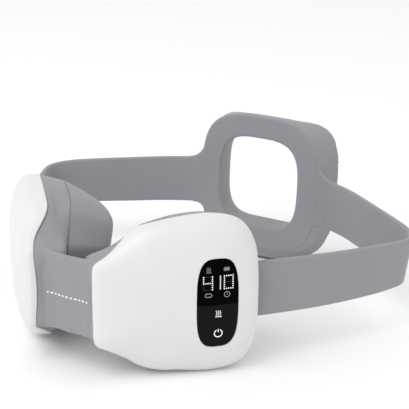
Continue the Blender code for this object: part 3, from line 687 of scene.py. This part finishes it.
def window_shell(material):
    """The right shell, with a window for the display."""
    edge = display_outline(DISPLAY_GAP)
    eased = display_outline(DISPLAY_GAP + WINDOW_EASE)
    far = OUTLINE * WINDOW_REACH
    rings = [in_pod(1, edge[:, 0], crown(edge) + WINDOW_EASE, edge[:, 1])]
    for share in np.linspace(0, 1, WINDOW_RINGS)[:-1]:
        points = eased + (far - eased) * share ** WINDOW_CROWDING
        rings.append(in_pod(1, points[:, 0], crown(points), points[:, 1]))
    reaches = crown_reaches(WINDOW_RIM_RINGS, WINDOW_REACH)
    rings += crown_rings(1, reaches) + shell_edge(1)
    rings += crown_rings(1, reaches[-2::-3], SHELL_INNER, SHELL_WALL)
    for share in (0.66, 0.33, 0.0):
        points = edge + (far * SHELL_INNER - edge) * share
        rings.append(in_pod(1, points[:, 0], crown(points) + SHELL_WALL, points[:, 1]))
    return skin("shell_right", rings, material)


def display_lens(upper, lower):
    """The touch window: a darker half for the lit display and a lighter half for the touch areas."""
    centre = np.array((DISPLAY_S, DISPLAY_Z))
    line = display_outline(-DISPLAY_GAP)
    rings = []
    for share in np.linspace(0, 1, LENS_RINGS)[1:]:
        points = centre + (line - centre) * share * (1 - LENS_EASE / DISPLAY_HALF_WIDTH)
        rings.append(in_pod(1, points[:, 0], crown(points), points[:, 1]))
    rings.append(in_pod(1, line[:, 0], crown(line) + LENS_EASE, line[:, 1]))
    rings.append(in_pod(1, line[:, 0], crown(line) + LENS_THICK, line[:, 1]))
    poles = (in_pod(1, *np.insert(centre, 1, crown(centre))),
             in_pod(1, *np.insert(centre, 1, crown(centre) + LENS_THICK)))
    lens = skin("display_window", rings, upper, poles)
    lens.data.materials.append(lower)
    split = (POD_CENTRE_Z + DISPLAY_SPLIT) * MM
    work = bmesh.new()
    work.from_mesh(lens.data)
    everything = work.verts[:] + work.edges[:] + work.faces[:]
    bmesh.ops.bisect_plane(work, geom=everything, plane_co=(0, 0, split), plane_no=(0, 0, 1))
    for face in work.faces:
        face.material_index = int(face.calc_center_median().z < split)
    work.to_mesh(lens.data)
    work.free()
    return lens


# Marks on the display -----------------------------------------------------------------------------


def disc(centre, radius, count=14):
    angles = 2 * math.pi * np.arange(count) / count
    return np.stack([centre[0] + radius * np.cos(angles), centre[1] + radius * np.sin(angles)], -1)


def stroke(line, width):
    """Outline of a line drawn with a pen of some width."""
    line = np.asarray(line, float)
    along = np.gradient(line, axis=0)
    along /= np.linalg.norm(along, axis=1)[:, None]
    across = np.stack([-along[:, 1], along[:, 0]], -1) * width / 2
    return np.vstack([line + across, (line - across)[::-1]])


def arc(centre, radius, start, end, count=28):
    angles = np.radians(np.linspace(start, end, count))
    return np.stack([centre[0] + radius * np.cos(angles), centre[1] + radius * np.sin(angles)], -1)


def box(centre, width, height):
    half = np.array((width / 2, height / 2))
    return np.array([np.array(centre) + half * c for c in ((-1, -1), (1, -1), (1, 1), (-1, 1))])


def heat_mark(centre, size):
    """Three rising waves over a bar."""
    shapes = []
    heights = np.linspace(-0.3, 0.5, 15) * size
    for offset in (-0.28, 0.0, 0.28):
        wave = 0.07 * size * np.sin(2 * math.pi * heights / (0.55 * size))
        line = np.stack([centre[0] + offset * size + wave, centre[1] + heights], -1)
        shapes.append(stroke(line, 0.09 * size))
    shapes.append(box((centre[0], centre[1] - 0.46 * size), 0.95 * size, 0.12 * size))
    return shapes


def battery_mark(centre, width, height):
    shapes = [box((centre[0] + width * 0.54, centre[1]), width * 0.08, height * 0.4)]
    for share in (-0.31, 0.0, 0.31):
        shapes.append(box((centre[0] + width * share, centre[1]), width * 0.27, height * 0.8))
    edge = height * 0.08
    for sign in (1, -1):
        shapes.append(box((centre[0], centre[1] + sign * (height / 2)), width, edge))
        shapes.append(box((centre[0] + sign * width / 2, centre[1]), edge, height))
    return shapes


def cycle_mark(centre, width, height):
    """Two bent arrows that follow each other round."""
    shapes = []
    radius = height * 0.36
    reach = width / 2 - radius
    for sign in (1, -1):
        tail = reach * -0.9
        line = [(tail, radius), (reach, radius), *arc((reach, 0), radius, 80, -50, 12)]
        shapes.append(stroke(np.array(centre) + sign * np.array(line), height * 0.16))
        head = [(tail, radius - 0.22 * height), (tail, radius + 0.22 * height), (tail - 0.3 * height, radius)]
        shapes.append(np.array(centre) + sign * np.array(head))
    return shapes


def clock_mark(centre, radius):
    shapes = [stroke(arc(centre, radius, 0, 358, 40), radius * 0.26)]
    minute_tip = (centre[0], centre[1] + radius * 0.55)
    hour_tip = (centre[0] + radius * 0.4, centre[1])
    shapes.append(stroke((minute_tip, centre), radius * 0.2))
    shapes.append(stroke((centre, hour_tip), radius * 0.2))
    return shapes


def power_mark(centre, radius):
    shapes = [stroke(arc(centre, radius, 118, 422, 48), radius * 0.26)]
    shapes.append(box((centre[0], centre[1] + radius * 0.72), radius * 0.26, radius * 0.85))
    return shapes


def digit(centre, dark):
    """Dots of one digit: those that shine and those of its dark segments."""
    bright_places = {p for name, dots in SEGMENT_DOTS.items() if name not in dark for p in dots}
    dim_places = {p for name in dark for p in SEGMENT_DOTS[name]} - bright_places
    corner = np.array(centre) - np.array((2, 3)) * DIGIT_PITCH
    return [[disc(corner + np.array(place) * DIGIT_PITCH, DOT_RADIUS) for place in sorted(places)]
            for places in (bright_places, dim_places)]


def display_marks():
    """Bright, dim and unlit shapes, in pod (s, z) coordinates."""
    at = {name: (DISPLAY_S + s, DISPLAY_Z + z) for name, (s, z) in MARK_PLACES.items()}
    four, four_dark = digit(at["four"], ("top", "lower_left", "bottom"))
    nought, nought_dark = digit(at["nought"], ("middle",))
    one = [disc((at["one"][0], at["one"][1] + (k - 4) * ONE_PITCH), ONE_RADIUS) for k in range(9)]
    bright = four + nought + one + heat_mark(at["heat_key"], 3.2) + power_mark(at["power_key"], 1.85)
    dim = battery_mark(at["battery"], 2.5, 1.6) + heat_mark(at["heat"], 2.5)
    dim += clock_mark(at["clock"], 1.3) + cycle_mark(at["cycle"], 3.1, 2.2)
    return bright, dim, four_dark + nought_dark


def printed(name, shapes, material, place, proud=MARK_PROUD):
    """Thin raised shapes; place gives world points for (s, z) points at some height over the surface."""
    points = []
    faces = []
    for shape in shapes:
        count = len(shape)
        base = len(points)
        points += list(place(shape, proud)) + list(place(shape, -proud))
        faces.append(tuple(range(base, base + count)))
        faces.append(tuple(range(base + count, base + 2 * count)))
        faces += [(base + k, base + (k + 1) % count, base + count + (k + 1) % count, base + count + k)
                  for k in range(count)]
    return mesh_object(name, np.array(points), faces, material, 30.0)


def on_lens(shape, proud):
    return in_pod(1, shape[:, 0], crown(shape) - proud, shape[:, 1])


# Face pads ----------------------------------------------------------------------------------------


def pad_surface(reach):
    """Depth of the face cushion from its edge (1) over its peak to its middle (0)."""
    if reach > PAD_PEAK:
        share = (1 - reach) / (1 - PAD_PEAK)
        return PAD_CREASE + PAD_BULGE * math.sin(share * math.pi / 2)
    share = reach / PAD_PEAK
    return PAD_CREASE + PAD_BULGE - PAD_DIP * math.cos(share * math.pi / 2) ** 2


def pad_ring(side, reach, scale=1.0, sunk=0.0, drop=0.0):
    """A ring of the face cushion, which leans away from the nose."""
    points = OUTLINE
    toward_nose = np.maximum(0.0, -points[:, 0] * reach / POD_NOSE_REACH)
    toward_temple = np.maximum(0.0, points[:, 0] * reach / POD_TEMPLE_REACH)
    rise = pad_surface(reach) - PAD_CREASE
    lean = 1 - PAD_NOSE_LEAN * toward_nose ** PAD_EASE - PAD_TEMPLE_LEAN * toward_temple ** PAD_EASE
    depth = PAD_CREASE - PAD_NOSE_DROP * toward_nose ** PAD_EASE + rise * lean - sunk - drop
    narrowed = reach * scale * PAD_TAPER
    s = points[:, 0] * narrowed * (1 - PAD_NOSE_PULL * toward_nose)
    return in_pod(side, s, depth, points[:, 1] * narrowed * (1 - PAD_NOSE_NARROWING * toward_nose))


def skirt_ring(side, scale, depth, lobe=0.0):
    """A ring of the skirt. Two lobes bulge out beside the nose, and the slopes above and below draw in."""
    toward_nose = np.maximum(0.0, -OUTLINE[:, 0] / POD_NOSE_REACH)
    beside_nose = toward_nose ** 2 * lobe_level(OUTLINE[:, 1])
    flush = scale + (1 - scale) * toward_nose ** 2
    slope = PAD_SLOPE_INSET * (1 - scale) * (toward_nose - toward_nose ** 2)
    return in_pod(side, OUTLINE[:, 0] * flush - lobe * beside_nose, depth, OUTLINE[:, 1] * (scale - slope))


def face_pad(side, tag, material):
    """Skirt, crease and cushion, and a lining one wall further in."""
    inner = 1 - PAD_WALL / POD_TEMPLE_REACH
    start = RIM + PAD_GAP
    guides = [skirt_ring(side, SKIRT_SCALE_RIM, start),
              skirt_ring(side, SKIRT_SCALE_MIDDLE, (start + PAD_SHOULDER) / 2, PAD_LOBE),
              skirt_ring(side, SKIRT_SCALE_SHOULDER, PAD_SHOULDER, PAD_LOBE),
              pad_ring(side, 1.0, drop=GROOVE_WIDTH)]
    skirt = list(spline(guides, SKIRT_STEPS))
    deep = 1 - GROOVE_DEPTH / POD_TEMPLE_REACH
    groove = [pad_ring(side, 1.0, deep, drop=GROOVE_WIDTH / 2)]
    cushion = [pad_ring(side, reach) for reach in (1.0, PAD_EDGE_REACH, *np.linspace(0.985, 0.03, PAD_RINGS))]
    lining = [skirt_ring(side, inner, start), skirt_ring(side, inner, PAD_SHOULDER)]
    lining += [pad_ring(side, reach, inner, PAD_WALL) for reach in np.linspace(0.95, 0.05, LINING_RINGS)]
    rings = lining[::-1] + skirt + groove + cushion
    middle = pad_surface(0.0)
    poles = (in_pod(side, 0, middle - PAD_WALL, 0), in_pod(side, 0, middle, 0))
    return skin(f"pad_{tag}", rings, material, poles, SOFT_SHARP_ANGLE)


# Soft loop ----------------------------------------------------------------------------------------


def bridge_path(end_s):
    middle_y = BRIDGE_FRONT_Y + BRIDGE_THICK / 2
    right = [pod_plan(end_s, BRIDGE_DEPTH), pod_plan((end_s + BRIDGE_EXIT_S) / 2, BRIDGE_DEPTH),
             pod_plan(BRIDGE_EXIT_S, BRIDGE_DEPTH), (BRIDGE_BEND_X, middle_y + BRIDGE_BEND_RISE)]
    left = [(-x, y) for x, y in right]
    return spline(left + [(0.0, middle_y)] + right[::-1], BRIDGE_STEPS)


def nose_bridge(material):
    """A strip across the nose that thickens into the pads on both sides."""
    path = bridge_path(BRIDGE_END_S)
    flare = smooth_step((np.abs(path[:, 0]) - BRIDGE_FLARE_FROM) / (BRIDGE_FLARE_TO - BRIDGE_FLARE_FROM))
    thicks = BRIDGE_THICK + (BRIDGE_POD_THICK - BRIDGE_THICK) * flare
    half_heights = BRIDGE_HALF_HEIGHT + (BRIDGE_POD_HALF_HEIGHT - BRIDGE_HALF_HEIGHT) * flare
    backward = (BRIDGE_THICK - thicks) / 2
    rings = ribbon_rings(path, np.full(len(path), POD_CENTRE_Z), half_heights, thicks / 2, shifts=backward)
    return ribbon("bridge", rings, material)


def bridge_cable(material):
    """The flat cable along the middle of the bridge, which bends with it."""
    path = bridge_path(CABLE_END_S)
    count = len(path)
    rings = ribbon_rings(path, np.full(count, POD_CENTRE_Z), np.full(count, CABLE_HALF_HEIGHT),
                         np.full(count, CABLE_THICK / 2))
    return ribbon("bridge_cable_bent", rings, material)


def on_bridge(shape, proud):
    """World points on the front of the nose bridge, from distances along it and heights."""
    path = bridge_path(BRIDGE_END_S)
    steps = np.linalg.norm(np.diff(path, axis=0), axis=1)
    travelled = np.concatenate([[0.0], np.cumsum(steps)])
    travelled -= travelled[-1] / 2
    along = np.gradient(path, axis=0)
    along /= np.linalg.norm(along, axis=1)[:, None]
    front = path + np.stack([along[:, 1], -along[:, 0]], -1) * (BRIDGE_THICK / 2 + proud)
    x, y = (np.interp(shape[:, 0], travelled, front[:, k]) for k in (0, 1))
    return in_loop(np.stack([x, y, shape[:, 1] + POD_CENTRE_Z], -1))


def bridge_ornament(material):
    """A plain row of dots and dashes."""
    shapes = []
    for k in range(-ORNAMENT_COUNT, ORNAMENT_COUNT + 1):
        place = (k * ORNAMENT_PITCH, ORNAMENT_Z)
        if k % 2:
            shapes.append(disc(place, ORNAMENT_DOT))
        else:
            shapes.append(box(place, ORNAMENT_DASH, ORNAMENT_THICK))
    return printed("bridge_ornament", shapes, material, on_bridge)


def band_path():
    """Plan path of the headband's right half, from inside the pod into the ring."""
    knots = [pod_plan(s, BAND_DEPTH) for s in (BAND_ROOT_S, (BAND_ROOT_S + BAND_FLEX_S) / 2, BAND_FLEX_S)]
    flex = JOINTS["right_ring_flex"][:2] + np.array((0.0, FRONT_TO_CENTRE))
    knots += [*BAND_POINTS, tuple(flex), RING_SEAM, RING_ROOT]
    return spline(knots, BAND_STEPS)


def knot(number):
    """Index in the path of a guide point, counted from the temple flex line."""
    return (2 + number) * BAND_STEPS


def ring_half_height(x):
    """Half height of the ring's outline at a distance from its middle."""
    share = np.minimum(np.abs(x) / RING_HALF_WIDTH, 1.0)
    return RING_HALF_HEIGHT * (1 - share ** RING_SQUARENESS) ** (1 / RING_SQUARENESS)


def band_rise(x, sign, fillet):
    """How far the strap's upper or lower edge bends up or down into the outline of the ring."""
    edge = RING_FLEX_Z + sign * BAND_HALF_WIDTH
    rise = abs(edge + sign * fillet - RING_CENTRE_Z) / RING_HALF_HEIGHT
    start = RING_HALF_WIDTH * (1 - rise ** RING_SQUARENESS) ** (1 / RING_SQUARENESS)
    share = np.clip((x - start) / fillet, 0, 1)
    curve = sign * fillet * (1 - np.sqrt(1 - (1 - share) ** 2))
    limit = RING_CENTRE_Z + sign * (ring_half_height(x) - BAND_ROOT_SINK) - edge
    return np.where(x < start, limit, curve)


def band_rings():
    """The headband's right half, which drops from the ring to the pod and narrows at its corner."""
    path = band_path()
    spots = np.arange(len(path))
    flex = knot(len(BAND_POINTS) + 1)
    rise = np.clip((spots - knot(BAND_CORNER)) / (flex - knot(BAND_CORNER)), 0, 1)
    heights = POD_CENTRE_Z + (RING_FLEX_Z - POD_CENTRE_Z) * rise
    to_corner = smooth_step((spots - knot(0)) / (knot(BAND_CORNER) - knot(0)))
    to_ring = smooth_step((spots - knot(BAND_CORNER)) / (flex - knot(BAND_CORNER)))
    leans = BAND_CORNER_LEAN * to_corner * (1 - to_ring) + RING_LEAN * to_ring
    narrowing = BAND_CORNER_NARROWING * to_corner * (1 - to_ring)
    top = heights + BAND_HALF_WIDTH
    foot = heights - BAND_HALF_WIDTH + 2 * narrowing
    near_ring = spots >= knot(BAND_CORNER + 1)
    top += np.where(near_ring, band_rise(path[:, 0], 1, BAND_TOP_FILLET), 0.0)
    foot += np.where(near_ring, band_rise(path[:, 0], -1, BAND_LOW_FILLET), 0.0)
    return ribbon_rings(path, (top + foot) / 2, (top - foot) / 2, np.full(len(path), BAND_THICK / 2), leans)


def headband(material):
    """The strap in four pieces: two on the right, the left one, and its short root inside the left pod."""
    rings = band_rings()
    split = knot(BAND_SPLIT)
    seam = knot(len(BAND_POINTS) + 2)
    front = ribbon("headband_right_front", rings[: split + 1], material)
    rear = ribbon("headband_right_rear", rings[split : seam + 1], material)
    root = ribbon("headband_root_left", rings[: LEFT_ROOT_STEPS - 1], material, -1)
    left = ribbon("headband_left", rings[LEFT_ROOT_STEPS : seam + 1], material, -1)
    return front, rear, root, left


def ring_point(angle, inset, depth):
    half_x = RING_HALF_WIDTH - inset
    half_z = RING_HALF_HEIGHT - inset
    x = half_x * signed_power(math.cos(angle), 2 / RING_SQUARENESS)
    z = half_z * signed_power(math.sin(angle), 2 / RING_SQUARENESS)
    return (x, RING_Y + depth + RING_LEAN * z, max(0.0, RING_CENTRE_Z + z))


def ring_profile(angle):
    """(inset, depth) round the U section: a flat front band whose two edges turn back."""
    top = max(0.0, math.sin(angle)) ** 4
    foot = max(0.0, -math.sin(angle)) ** 4
    flare = RING_SIDE_FLARE + (RING_TOP_FLARE - RING_SIDE_FLARE) * top
    flare += (RING_FOOT_FLARE - RING_SIDE_FLARE) * foot
    inner_flare = RING_SIDE_FLARE * (1 - foot) * (1 - top)
    power = RING_FLARE_POWER + (RING_FOOT_POWER - RING_FLARE_POWER) * foot
    backs = np.linspace(0.15, 1.0, RING_BACK_STEPS)
    outer = [(-flare * back ** power, RING_DEPTH * back) for back in backs]
    inner = [(RING_BAND - inner_flare * back ** RING_FLARE_POWER, RING_DEPTH * back) for back in backs]
    outer_inside = [(inset + RING_SKIN, max(depth, RING_SKIN)) for inset, depth in outer[::-1]]
    inner_inside = [(inset - RING_SKIN, max(depth, RING_SKIN)) for inset, depth in inner]
    ease = RING_EDGE
    return [(0.0, ease), (ease, 0.0), (RING_BAND - ease, 0.0), (RING_BAND, ease), *inner, *inner_inside[::-1],
            *outer_inside[::-1], *outer[::-1]]


def back_ring(material):
    """The ring with the roots of the headband, melted into one skin and trimmed at the seams."""
    rings = [[ring_point(angle, inset, depth) for inset, depth in ring_profile(angle)]
             for angle in 2 * math.pi * np.arange(RING_SIDES) / RING_SIDES]
    ring = skin("ring", in_loop(rings), material)
    roots = band_rings()[knot(len(BAND_POINTS) + 1) - BAND_STEPS // 3 :]
    ears = [ribbon("ear", roots, material, side) for side in (1, -1)]
    work = bmesh.new()
    for piece in (ring, *ears):
        work.from_mesh(piece.data)
    work.to_mesh(ring.data)
    work.free()
    for ear in ears:
        bpy.data.objects.remove(ear, do_unlink=True)
    melt = ring.modifiers.new("melt", "REMESH")
    melt.mode = "VOXEL"
    melt.voxel_size = RING_VOXEL * MM
    ease = ring.modifiers.new("ease", "SMOOTH")
    ease.factor = 0.5
    ease.iterations = RING_EASE_STEPS
    apply_modifiers(ring)
    trim_ring(ring)
    ring.data.shade_smooth()
    ring.data.set_sharp_from_angle(angle=math.radians(SOFT_SHARP_ANGLE))
    return ring


def trim_ring(ring):
    """Cuts the roots of the headband off at the seams and closes the cuts."""
    work = bmesh.new()
    work.from_mesh(ring.data)
    for side in (1, -1):
        everything = work.verts[:] + work.edges[:] + work.faces[:]
        seam = (side * RING_SEAM[0] * MM, 0, 0)
        bmesh.ops.bisect_plane(work, geom=everything, plane_co=seam, plane_no=(side, 0, 0), dist=SEAM_MERGE)
        limit = RING_SEAM[0] * MM + SEAM_MARGIN
        outside = [v for v in work.verts if side * v.co.x > limit and near_strap(v.co)]
        bmesh.ops.delete(work, geom=outside, context="VERTS")
        rim = [e for e in work.edges if e.is_boundary]
        bmesh.ops.holes_fill(work, edges=rim)
    work.to_mesh(ring.data)
    work.free()


def near_strap(place):
    """Whether a point belongs to a root of the headband and not to the flared wall behind it."""
    return place.y < (RING_SEAM[1] - FRONT_TO_CENTRE + 2 * BAND_THICK) * MM


# Camera, light and floor --------------------------------------------------------------------------


def add_camera():
    data = bpy.data.cameras.new("camera")
    data.lens = CAMERA_LENS
    data.sensor_width = 36.0
    data.clip_start = 0.01
    data.clip_end = 20.0
    camera = bpy.data.objects.new("camera", data)
    bpy.context.scene.collection.objects.link(camera)
    a = CAMERA_AZIMUTH
    e = CAMERA_ELEVATION
    back = Vector((math.sin(a) * math.cos(e), -math.cos(a) * math.cos(e), math.sin(e)))
    right = Vector((math.cos(a), math.sin(a), 0.0))
    up = back.cross(right)
    target = Vector(CAMERA_TARGET) + right * CAMERA_RIGHT + up * CAMERA_UP
    camera.location = (target + back * CAMERA_DISTANCE) * MM
    turn = (-back).to_track_quat("-Z", "Y")
    camera.rotation_euler = turn.to_euler()
    camera.rotation_euler.rotate_axis("Z", CAMERA_ROLL)
    bpy.context.scene.camera = camera


def add_key_light():
    data = bpy.data.lights.new("key", "AREA")
    data.shape = "RECTANGLE"
    data.size = KEY_SIZE
    data.size_y = KEY_SIZE
    data.energy = KEY_POWER
    lamp = bpy.data.objects.new("key", data)
    lamp.location = KEY_PLACE
    lamp.rotation_euler = (Vector(KEY_AIM) - Vector(KEY_PLACE)).to_track_quat("-Z", "Y").to_euler()
    bpy.context.scene.collection.objects.link(lamp)


def add_floor():
    material = new_material("floor", (0.96, 0.96, 0.96), 0.8)
    vary_roughness(material, add_noise(material, 8.0), 0.75, 0.85)
    mesh = bpy.data.meshes.new("floor")
    corners = [(x * FLOOR_REACH, y * FLOOR_REACH, 0.0) for x, y in ((-1, -1), (1, -1), (1, 1), (-1, 1))]
    mesh.from_pydata(corners, [], [(0, 1, 2, 3)])
    mesh.materials.append(material)
    floor = bpy.data.objects.new("floor", mesh)
    bpy.context.scene.collection.objects.link(floor)


def add_world():
    world = bpy.data.worlds.new("studio")
    world.use_nodes = True
    background = world.node_tree.nodes["Background"]
    background.inputs["Color"].default_value = (1.0, 1.0, 1.0, 1.0)
    background.inputs["Strength"].default_value = WORLD_STRENGTH
    bpy.context.scene.world = world
    bpy.context.scene.view_settings.view_transform = "Standard"


# Assembly -----------------------------------------------------------------------------------------

CABLE_SLOT = "dark_plastic"
INNER_LOOKS = {
    "grey_plastic": lambda: plain_plastic("grey_plastic", (0.3, 0.3, 0.32)),
    "dark_plastic": lambda: plain_plastic("dark_plastic", (0.04, 0.04, 0.045)),
    "foam": open_foam,
    "heating_film": film_heater,
    "circuit_board": circuit_board,
    "steel": lambda: metal("steel", (0.62, 0.62, 0.63), 0.28),
    "brass": lambda: metal("brass", (0.62, 0.46, 0.2), 0.32),
    "battery_wrap": battery_foil,
}


def dress_inner_nodes(looks):
    """Gives each CAD node that stays visible its procedural material."""
    for part in frame["record"]["subparts"]:
        slot = part["material_slot"]
        node = frame["nodes"][part["node"]]
        node.data.materials.clear()
        node.data.materials.append(looks[slot])


def build():
    looks = {slot: make() for slot, make in INNER_LOOKS.items()}
    looks["white_plastic"] = white_plastic()
    looks["grey_silicone"] = grey_silicone()
    looks["black_glass"] = display_glass("black_glass", (0.001, 0.001, 0.001), 0.02)
    dress_inner_nodes(looks)
    build_pods(looks["white_plastic"], looks["grey_silicone"])
    build_display(looks["black_glass"])
    build_soft_loop(looks["grey_silicone"], looks[CABLE_SLOT])


def build_pods(white, silicone):
    for side, tag in ((1, "right"), (-1, "left")):
        shell = window_shell(white) if side > 0 else front_shell(-1, "left", white)
        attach(shell, f"{tag}_pod")
        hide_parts(f"front_shell_{tag}")
        pad = face_pad(side, tag, silicone)
        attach(pad, f"{tag}_pod")
        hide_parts(f"face_pad_{tag}")


def build_display(glass):
    lens = display_lens(glass, display_glass("touch_glass", (0.006, 0.006, 0.006), 0.06))
    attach(lens, "right_pod")
    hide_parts("display_lens")
    bright, dim, dark = display_marks()
    marks = (("display_bright", bright, (0.5, 0.5, 0.5), 0.5), ("display_icons", dim, (0.2, 0.2, 0.2), 0.08),
             ("display_unlit", dark, (0.03, 0.03, 0.03), 0.0))
    for name, shapes, colour, brightness in marks:
        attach(printed(name, shapes, lit_mark(name, colour, brightness), on_lens), "right_pod")


def build_soft_loop(silicone, wrap):
    """Nose bridge with its cable, headband and back ring, the strap cut into pieces at its flex lines."""
    bridge = nose_bridge(silicone)
    cable = bridge_cable(wrap)
    for piece in (bridge, cable, bridge_ornament(white_print())):
        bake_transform(piece)
    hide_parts("nose_bridge")
    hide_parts("bridge_cable")
    front, rear, root, left = headband(silicone)
    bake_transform(front)
    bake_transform(rear)
    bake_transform(left)
    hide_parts("band_end_right")
    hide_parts("band_right")
    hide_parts("band_left")
    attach(root, "left_pod")
    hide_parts("band_end_left")
    ring = back_ring(silicone)
    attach(ring, "back_ring")
    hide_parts("back_ring")


build()
add_camera()
add_key_light()
add_floor()
add_world()
